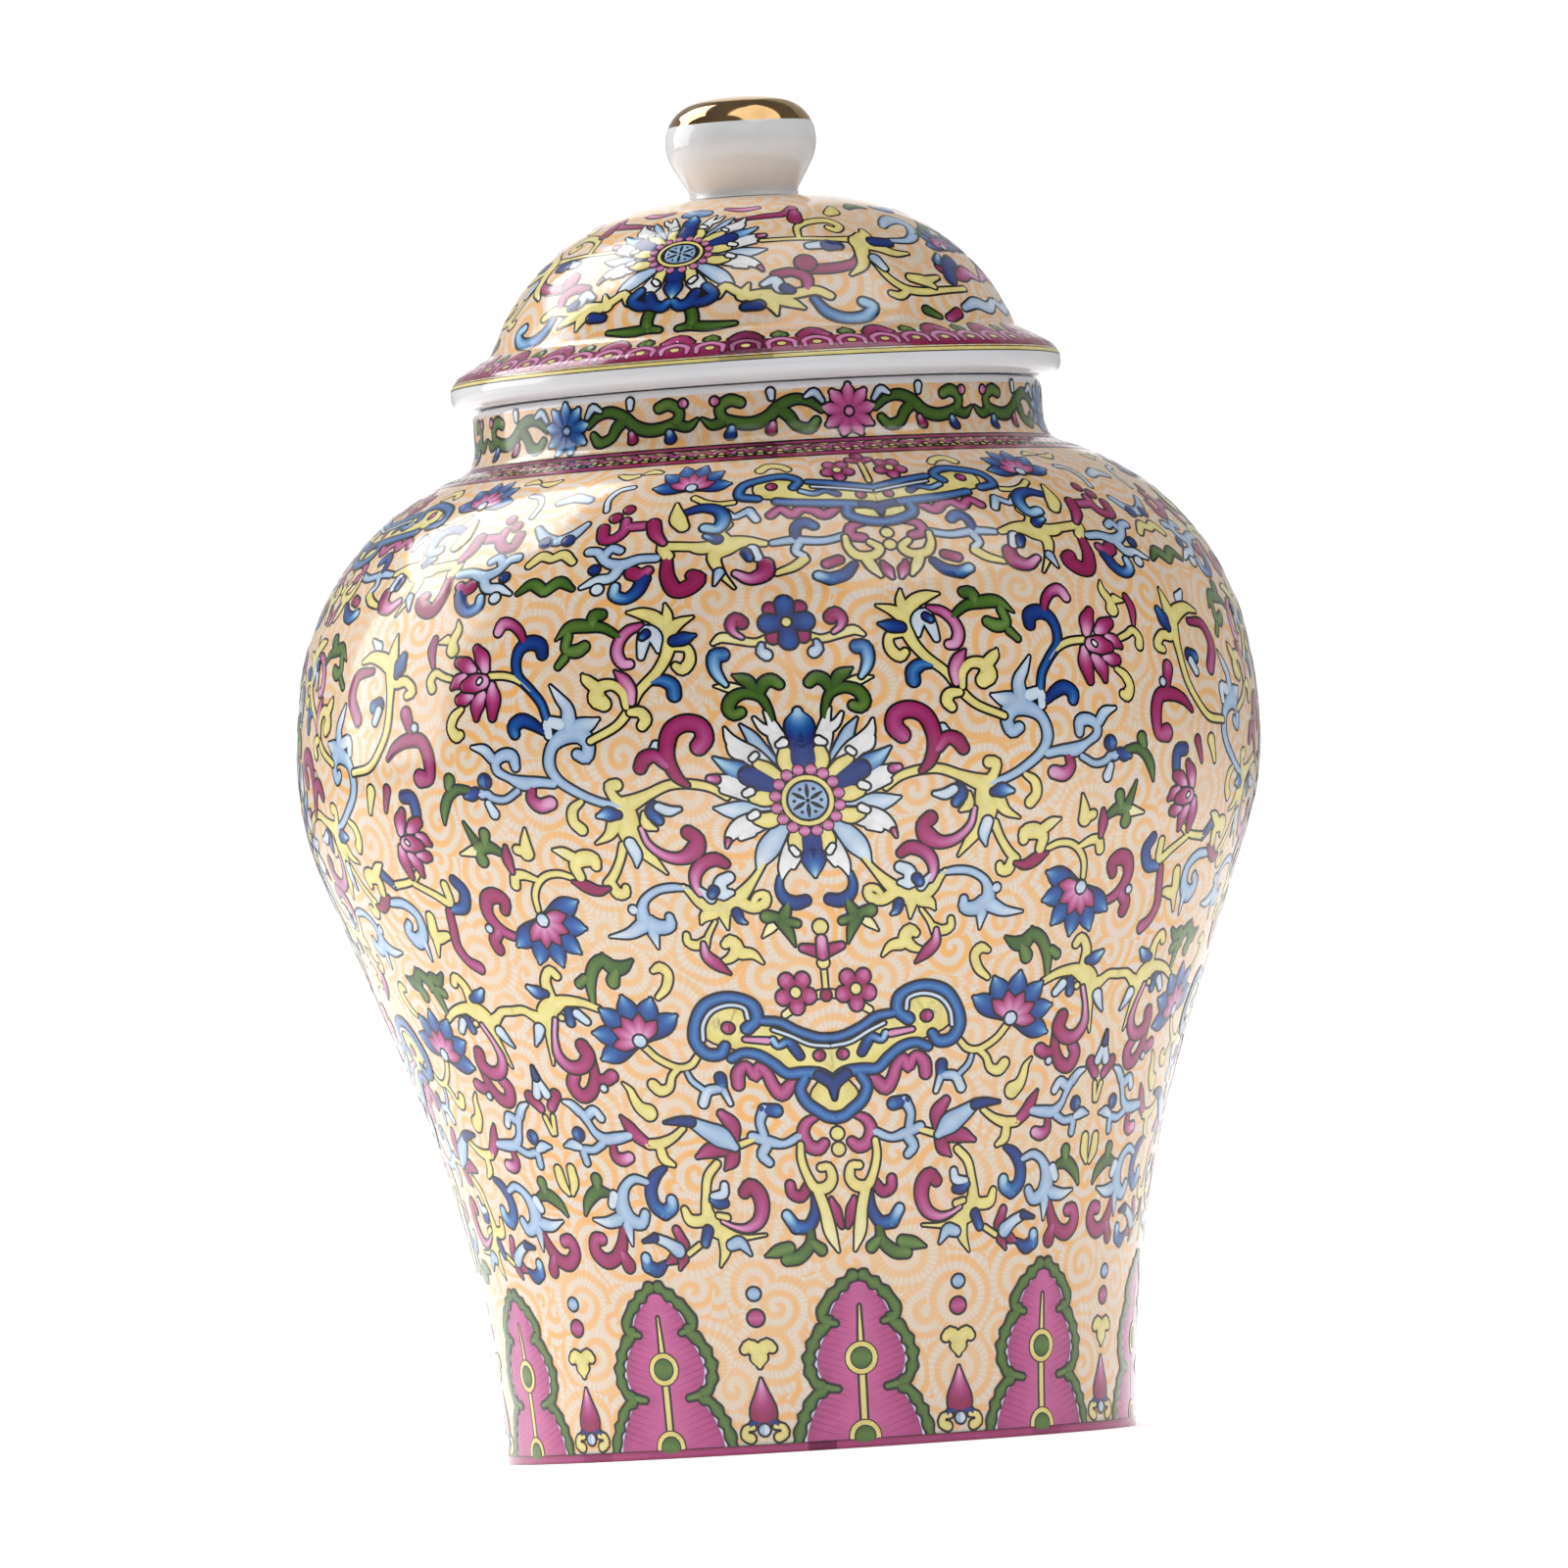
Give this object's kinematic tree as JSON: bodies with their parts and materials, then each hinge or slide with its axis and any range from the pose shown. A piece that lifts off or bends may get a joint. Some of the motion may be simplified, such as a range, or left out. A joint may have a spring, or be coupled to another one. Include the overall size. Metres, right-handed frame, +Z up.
{
  "type": "ginger jar",
  "caption": "Lidded porcelain ginger jar: baluster body on a foot ring, with a loose domed lid that lifts off by a gilt-capped knob.",
  "frame": {"origin": "middle of the foot ring's resting face, on the jar's axis", "axes": "+Z up along the axis of revolution; the main painted flower faces -Y"},
  "size_m": [0.2, 0.2, 0.28],
  "materials": {
    "painted_glaze": "glossy clear glaze over white porcelain with fired enamel decoration",
    "white_glaze": "glossy clear glaze over white porcelain",
    "gilding": "polished fired gold"
  },
  "bodies": {
    "jar": {"jar_body": "painted_glaze"},
    "lid": {"lid_dome": "painted_glaze", "lid_flange": "white_glaze", "knob": "white_glaze", "knob_gilding": "gilding"}
  },
  "joints": [
    {"name": "lid_lift", "type": "slide", "parent": "jar", "child": "lid", "axis": [0, 0, 1], "range_m": [0, 0.1]}
  ]
}
